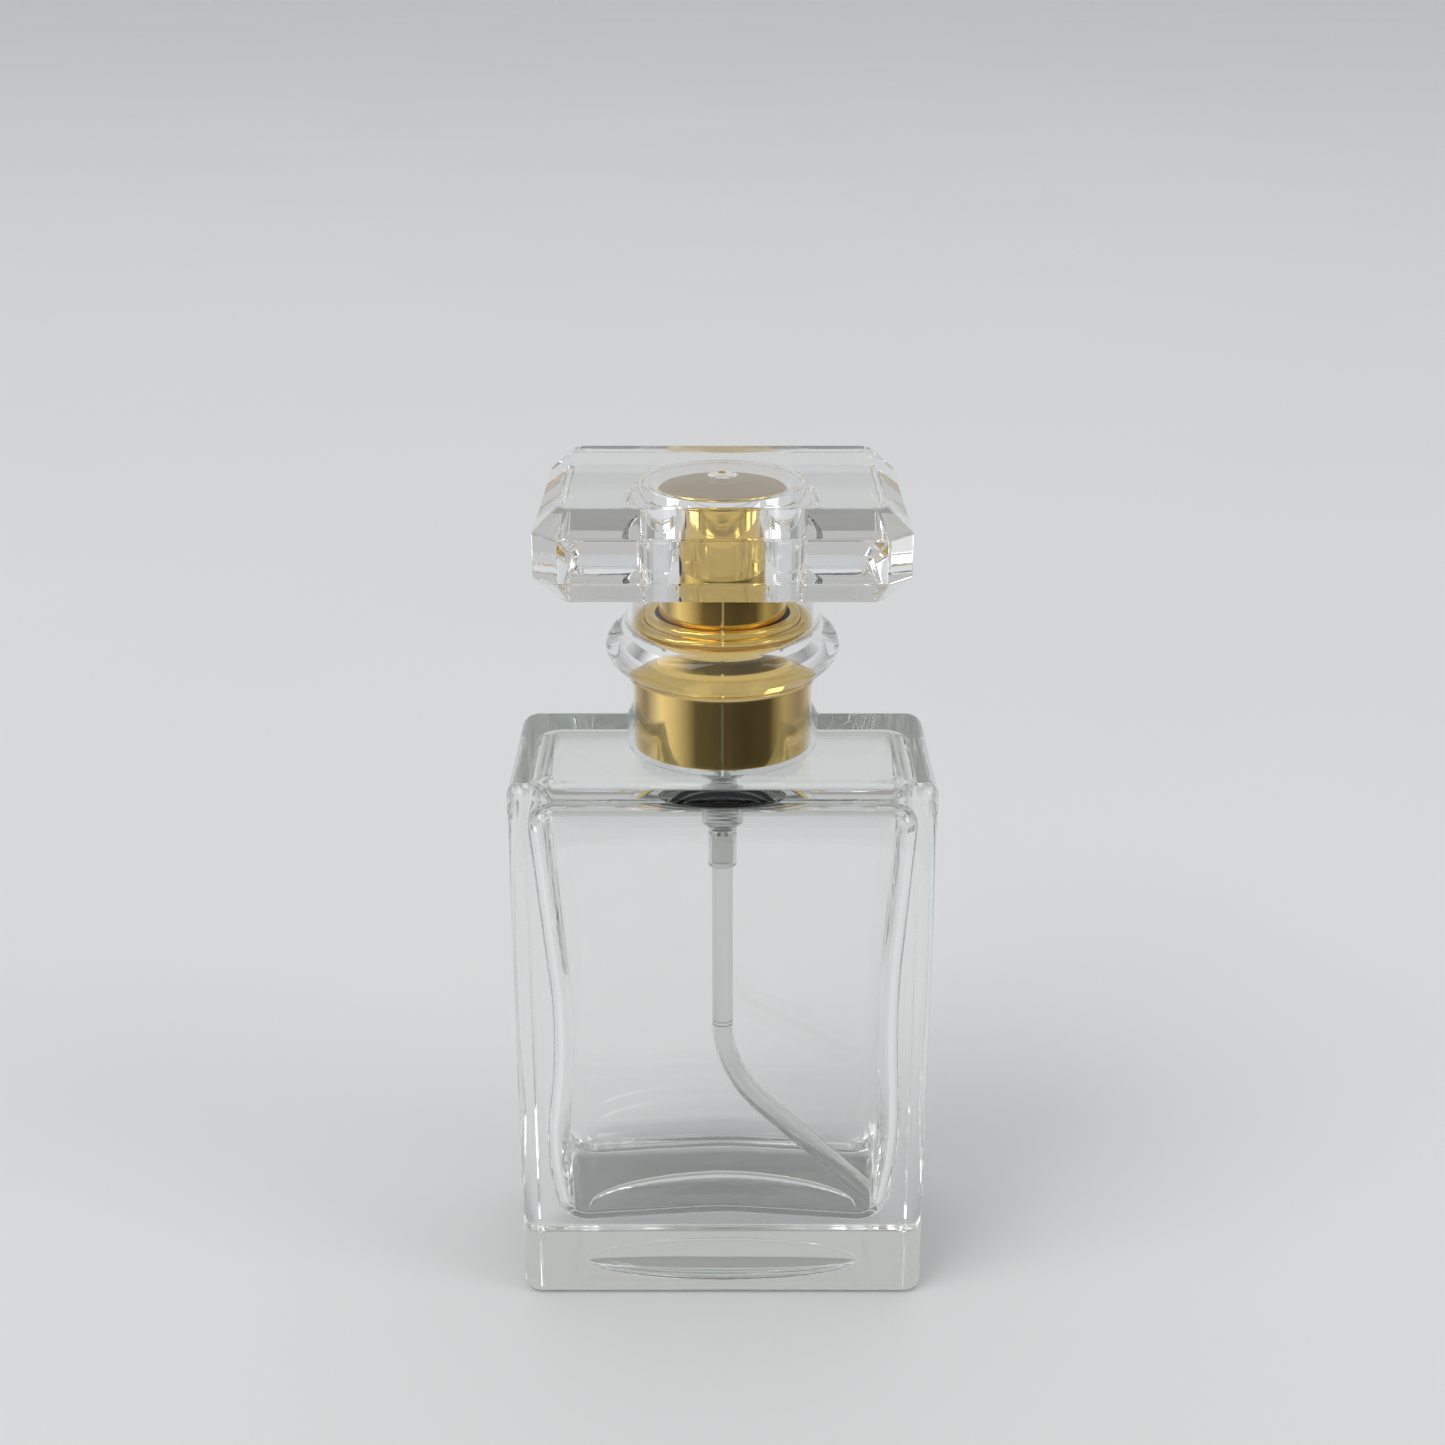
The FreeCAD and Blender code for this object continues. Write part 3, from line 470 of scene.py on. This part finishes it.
def glass_bore():
    """Bore of the neck, widening where it opens into the inside."""
    bore, mouth = 4.7, 6.3
    bm = lathe([(0, ROOF - 0.6), (mouth, ROOF - 0.6), (bore, ROOF + 1.0), (bore, NECK_TOP + 1),
                (0, NECK_TOP + 1)], {2: 0.7}, 96)
    return as_object(bm, "bore")


def foot_hollow():
    """Shallow oval that the foot is pushed up by."""
    bm = bmesh.new()
    bmesh.ops.create_uvsphere(bm, u_segments=96, v_segments=48, radius=1.0)
    bmesh.ops.scale(bm, vec=(15.0, 6.5, 0.8), verts=bm.verts[:])
    return as_object(bm, "hollow")


def glass_body():
    piece = glass_outside()
    combine(piece, glass_neck(), "UNION")
    hollow = glass_inside()
    combine(hollow, glass_bore(), "UNION")
    combine(piece, hollow, "DIFFERENCE")
    combine(piece, foot_hollow(), "DIFFERENCE")
    smooth(piece)
    settle(piece, "bottle", ["glass_bottle"], GLASS)


# ---- gold ----

def gold_collar():
    """Collar: rolled foot, rounded shoulder, fine step and raised lip."""
    top, foot, lip = COLLAR_TOP, COLLAR_FOOT, COLLAR_TOP + LIP_RISE
    wall, hole = 0.45, 6.75
    inner = COLLAR_RADIUS - wall
    bm = lathe([
        (inner, foot), (COLLAR_RADIUS, foot), (COLLAR_RADIUS, top), (8.1, top), (8.1, top - 0.12),
        (7.95, top - 0.12), (7.75, lip), (hole, lip), (hole, top - wall), (inner, top - wall)],
        {1: 0.12, 2: 0.75, 6: 0.3, 7: 0.3}, 192)
    piece = as_object(bm, "gold_collar")
    smooth(piece)
    settle(piece, "bottle", ["collar"], GOLD)


def towards_spray(bm):
    """Lay an upright turned piece along the spray's way, at the spray's level."""
    turn_about(bm, "X", 90)
    bmesh.ops.translate(bm, vec=(0, 0, SPRAY_LEVEL), verts=bm.verts[:])
    turn_about(bm, "Z", SPRAY_TURN)


def spray_window():
    """The round bar that cuts the button's window."""
    bm = lathe([(0, BUTTON_RADIUS - 2), (1.05, BUTTON_RADIUS - 2), (1.05, BUTTON_RADIUS + 2),
                (0, BUTTON_RADIUS + 2)], {}, 64)
    towards_spray(bm)
    return as_object(bm, "window")


def gold_button():
    """Button shell with its window."""
    top, foot, radius, wall = BUTTON_TOP, BUTTON_FOOT, BUTTON_RADIUS, 0.35
    bm = lathe([
        (0, top - wall), (radius - wall, top - wall), (radius - wall, foot), (radius, foot),
        (radius, top), (0, top)], {1: 0.2, 3: 0.1, 4: 0.45}, 192)
    piece = as_object(bm, "gold_button")
    combine(piece, spray_window(), "DIFFERENCE")
    smooth(piece)
    settle(piece, "actuator", ["actuator_shell"], BUTTON_GOLD)


def spray_insert():
    """Swirl insert: dished face with a raised ring and the orifice."""
    face, back = 5.72, 3.66
    bm = lathe([(0.2, back), (1.9, back), (1.9, face), (0.95, face), (0.75, face - 0.35),
                (0.35, face - 0.35), (0.2, face - 0.2)], {2: 0.15, 3: 0.1, 4: 0.1}, 64)
    towards_spray(bm)
    piece = as_object(bm, "spray_insert")
    smooth(piece)
    settle(piece, "actuator", ["nozzle_insert"], INSERT)


# ---- pump below the collar ----

def pump_body():
    """Milky pump body: flange, barrel, spring well, pocket and tail."""
    flange = high("pump_housing").z
    floor = flange - 7.2
    seat, tail = SPRING_FOOT, TAIL_FOOT
    ball = seat - 2.2
    hole = ball - 0.7
    bm = lathe([
        (2.7, flange), (7.1, flange), (7.1, flange - 0.7), (3.3, flange - 0.7),
        (3.3, floor - 0.6), (2.15, floor - 1.2), (2.15, seat), (1.5, seat - 1.0), (1.5, tail),
        (1.12, tail), (1.12, hole), (0.6, hole), (0.6, ball), (1.15, ball), (1.15, seat - 0.2),
        (0.85, seat - 0.2), (0.85, seat), (1.7, seat), (1.7, floor), (2.7, floor)],
        {4: 0.2, 5: 0.3, 6: 0.25, 7: 0.3, 8: 0.15}, 96)
    piece = as_object(bm, "pump_body")
    smooth(piece)
    settle(piece, "bottle", ["pump_housing"], HOUSING)


def coil_spring():
    """Round-wire coil."""
    wire, radius, pressed = 0.2, 1.4, 3.6
    turns, steps = 9, 28
    rise = SPRING_TOP - SPRING_FOOT - 2 * wire
    bm = bmesh.new()
    bmesh.ops.create_circle(bm, segments=10, radius=wire)
    turn_about(bm, "X", 90)
    bmesh.ops.translate(bm, vec=(radius, 0, SPRING_FOOT + wire), verts=bm.verts[:])
    ring = bm.verts[:] + bm.edges[:]
    bmesh.ops.spin(bm, geom=ring, axis=(0, 0, 1), cent=(0, 0, 0),
                   dvec=(0, 0, rise / (turns * steps)), angle=TURN * turns, steps=turns * steps)
    bmesh.ops.holes_fill(bm, edges=bm.edges[:], sides=0)
    bmesh.ops.recalc_face_normals(bm, faces=bm.faces[:])
    piece = as_object(bm, "coil_spring")
    smooth(piece, 50)
    settle(piece, "bottle", ["return_spring"], STEEL)
    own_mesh(piece)


def dip_tube():
    """Milky tube: straight down, bent once, then straight to the front corner."""
    bend, swing = 11.2, math.radians(55)
    end_level, reach = 10.1, GLASS_WIDTH / 2 - 4.4
    across = bend * (1 - math.cos(swing))
    foot = end_level + (reach - across) / math.tan(swing)
    start = foot + bend * math.sin(swing)
    bm = bmesh.new()
    for radius in (1.1, 0.8):
        made = bmesh.ops.create_circle(bm, segments=40, radius=radius)["verts"]
        bmesh.ops.translate(bm, vec=(0, 0, TUBE_TOP), verts=made)
    rim = bmesh.ops.bridge_loops(bm, edges=bm.edges[:])["faces"]
    rim = pull(bm, rim, (0, 0, start - TUBE_TOP))
    spun = bmesh.ops.spin(bm, geom=rim, axis=(0, -1, 0), cent=(bend, 0, start), dvec=(0, 0, 0),
                          angle=swing, steps=36)["geom_last"]
    rim = [item for item in spun if isinstance(item, bmesh.types.BMFace)]
    pull(bm, rim, (reach - across, 0, end_level - foot))
    bmesh.ops.recalc_face_normals(bm, faces=bm.faces[:])
    turn_about(bm, "Z", -20)
    piece = as_object(bm, "clear_dip_tube")
    smooth(piece, 50)
    settle(piece, "bottle", ["dip_tube"], TUBE)


# ---- clear cap ----

def cap_slab():
    """Faceted slab with cut corners and softened edges."""
    half_width, half_depth, leg = 17.85, 14.8, 2.35
    crown, girdle, pavilion, bevel = 2.4, 4.35, 2.5, 2.5
    girdle_top = CAP_TOP - crown
    girdle_foot = girdle_top - girdle
    bm = bmesh.new()
    bmesh.ops.create_cube(bm, size=1.0)
    bmesh.ops.scale(bm, vec=(2 * half_width, 2 * half_depth, girdle_top - girdle_foot),
                    verts=bm.verts[:])
    bmesh.ops.translate(bm, vec=(0, 0, (girdle_top + girdle_foot) / 2), verts=bm.verts[:])
    round_edges(bm, lambda edge: runs_along(edge, 2), leg, 1)
    for way, rise in ((1, crown), (-1, pavilion)):
        flat = [face for face in bm.faces if face.normal.z * way > 0.9]
        bmesh.ops.inset_region(bm, faces=flat, thickness=bevel, depth=0, use_even_offset=True)
        bmesh.ops.translate(bm, vec=(0, 0, way * rise),
                            verts=list({vert for face in flat for vert in face.verts}))
    bm.normal_update()
    round_edges(bm, lambda edge: edge.calc_face_angle(0) > 0.1, 0.22, 3)
    return as_object(bm, "clear_cap")


def cap_sleeve():
    """Sleeve with its rounded ring and the fine mould line, front and back."""
    outer, bulge, ring, top = 9.75, 11.8, COLLAR_TOP - 3.1, CAP_TOP - 6
    seam_rise, seam_half = 0.12, 0.14
    bm = lathe([
        (0, CAP_FOOT), (outer, CAP_FOOT), (outer, ring - 2.35), (bulge, ring - 1.5),
        (bulge, ring + 1.5), (outer, ring + 2.35), (outer, top), (0, top)],
        {1: 0.2, 2: 0.7, 3: 1.5, 4: 1.5, 5: 0.7}, 192)
    for side in (-seam_half, seam_half):
        bmesh.ops.bisect_plane(bm, geom=bm.verts[:] + bm.edges[:] + bm.faces[:], dist=1e-5,
                               plane_co=(side, 0, 0), plane_no=(1, 0, 0))
    for vert in bm.verts:
        if abs(vert.co.x) < 1e-4 and abs(vert.co.y) > 9.6:
            vert.co.y += math.copysign(seam_rise, vert.co.y)
    return as_object(bm, "sleeve")


def cap_bore():
    """The cap's bore: wide over the collar, narrower over the button."""
    over_collar, over_button = 9.2, 8.3
    step, ceiling = COLLAR_TOP + 5.5, BUTTON_TOP + 0.8
    bm = lathe([(0, CAP_FOOT - 1), (over_collar, CAP_FOOT - 1), (over_collar, step),
                (over_button, step), (over_button, ceiling), (0, ceiling)],
               {2: 0.25, 4: 0.8}, 192)
    return as_object(bm, "bore")


def cap_gate():
    """Shallow dish left by the mould, with a small pip in its middle."""
    bm = lathe([(0, CAP_TOP - 0.12), (0.45, CAP_TOP - 0.16), (0.75, CAP_TOP - 0.32),
                (1.3, CAP_TOP - 0.3), (1.5, CAP_TOP + 0.02), (1.5, CAP_TOP + 1),
                (0, CAP_TOP + 1)], {1: 0.15, 2: 0.15, 3: 0.15}, 64)
    return as_object(bm, "gate")


def clear_cap():
    piece = cap_slab()
    combine(piece, cap_sleeve(), "UNION")
    combine(piece, cap_bore(), "DIFFERENCE")
    combine(piece, cap_gate(), "DIFFERENCE")
    smooth(piece, 20)
    settle(piece, "cap", ["cap"], CAP_CLEAR)


# ---- nodes that keep their own shape ----

def dress_nodes():
    """Give the hidden pieces their finishes."""
    finishes = {
        "neck_gasket": RUBBER, "stem_seal": RUBBER, "ferrule": ALUMINIUM, "collar_liner": LINER,
        "turret": WHITE, "stem": WHITE, "piston": WHITE, "outlet_poppet": WHITE,
        "actuator_core": WHITE, "inlet_ball": STEEL}
    for name, material in finishes.items():
        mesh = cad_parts[name].data
        for place in range(max(1, len(mesh.materials))):
            if mesh.materials:
                mesh.materials[place] = material
            else:
                mesh.materials.append(material)


# ---- studio ----

CAMERA_RISE = math.radians(21.1)
CAMERA_DISTANCE = 0.2138
AIM = Vector((0, 0, 0.0623))
FLOOR_GAP = 0.05
LIGHT_BOUNCES = 32


def studio_floor():
    bm = bmesh.new()
    bmesh.ops.create_grid(bm, x_segments=1, y_segments=1, size=4000)
    bmesh.ops.translate(bm, vec=(0, 0, -FLOOR_GAP), verts=bm.verts[:])
    floor = as_object(bm, "studio_floor")
    shader = Shader("pale_floor")
    cloud = shader.noise(6, 3)
    surface = shader.surface({
        "Base Color": shader.blend(cloud, rgb(0.86, 0.86, 0.855), rgb(0.82, 0.82, 0.815)),
        "Roughness": 0.65})
    floor.data.materials.append(shader.done(surface))


def curved_wall(name, radius, foot, top, start, sweep, steps):
    """An upright wall on part of a circle, seen by mirrors and clear pieces only."""
    bm = bmesh.new()
    edge = bm.edges.new([bm.verts.new((0, radius, level)) for level in (foot, top)])
    turn_about(bm, "Z", start)
    bmesh.ops.spin(bm, geom=[edge] + list(edge.verts), axis=(0, 0, 1), cent=(0, 0, 0),
                   dvec=(0, 0, 0), angle=math.radians(sweep), steps=steps)
    wall = as_object(bm, name)
    wall.visible_camera = wall.visible_diffuse = wall.visible_shadow = False
    return wall


def reflector_ring():
    """A low ring for the polished pieces to mirror, which leaves the back open.

    One bright card stands at the left, a dimmer one at the right, and dark between.
    """
    opening = 45.0
    stops = [(0.0, 0.6), (0.1, 0.3), (0.2, 1.1), (0.27, 0.8), (0.38, 0.12), (0.6, 0.06),
             (0.72, 0.08), (0.8, 0.5), (0.9, 0.3), (1.0, 0.6)]
    ring = curved_wall("reflector_ring", 130.0, -1.0, 46.0, opening, 360 - 2 * opening, 180)
    shader = Shader("reflector_bands")
    ring.data.materials.append(shader.done(shader.bands(stops, math.radians(opening))))


def backdrop(name, foot, top, light):
    """A curve far behind, above what the camera sees, that clear facets pick up."""
    curve = curved_wall(name, 600.0, foot, top, -65, 130, 60)
    shader = Shader(name)
    curve.data.materials.append(shader.done(shader.add(
        "ShaderNodeEmission", {}, {"Color": rgb(light, light, light * 0.97)}, 0)))


def softbox(name, place, size, power):
    """A soft rectangular light that faces the bottle."""
    light = bpy.data.lights.new(name, "AREA")
    light.shape = "RECTANGLE"
    light.size, light.size_y = size
    light.energy = power
    lamp = bpy.data.objects.new(name, light)
    lamp.location = place
    lamp.rotation_euler = (AIM - Vector(place)).to_track_quat("-Z", "Y").to_euler()
    bpy.context.scene.collection.objects.link(lamp)


def studio():
    """Pale floor, soft light from above and both sides, and the camera."""
    studio_floor()
    reflector_ring()
    backdrop("low_backdrop", 110.0, 500.0, 0.5)
    backdrop("high_backdrop", 500.0, 1150.0, 0.32)
    world = bpy.data.worlds.new("studio_air")
    world.use_nodes = True
    world.node_tree.nodes["Background"].inputs["Color"].default_value = rgb(0.96, 0.98, 1.0)
    world.node_tree.nodes["Background"].inputs["Strength"].default_value = 0.6
    bpy.context.scene.world = world
    softbox("key_light", (-1.0, -0.8, 1.8), (1.2, 1.2), 13.0)
    softbox("fill_light", (1.4, -0.6, 1.2), (0.7, 1.0), 4.0)
    camera = bpy.data.cameras.new("camera")
    camera.lens, camera.sensor_width = 51.8, 36
    camera.clip_start, camera.clip_end = 0.005, 20
    viewer = bpy.data.objects.new("camera", camera)
    back = Vector((0, -math.cos(CAMERA_RISE), math.sin(CAMERA_RISE)))
    viewer.location = AIM + back * CAMERA_DISTANCE
    viewer.rotation_euler = (-back).to_track_quat("-Z", "Y").to_euler()
    bpy.context.scene.collection.objects.link(viewer)
    bpy.context.scene.camera = viewer
    bpy.context.scene.view_settings.view_transform = "Standard"
    cycles = bpy.context.scene.cycles
    cycles.max_bounces = cycles.glossy_bounces = cycles.transmission_bounces = LIGHT_BOUNCES


studio()
glass_body()
gold_collar()
gold_button()
spray_insert()
pump_body()
coil_spring()
dip_tube()
clear_cap()
dress_nodes()
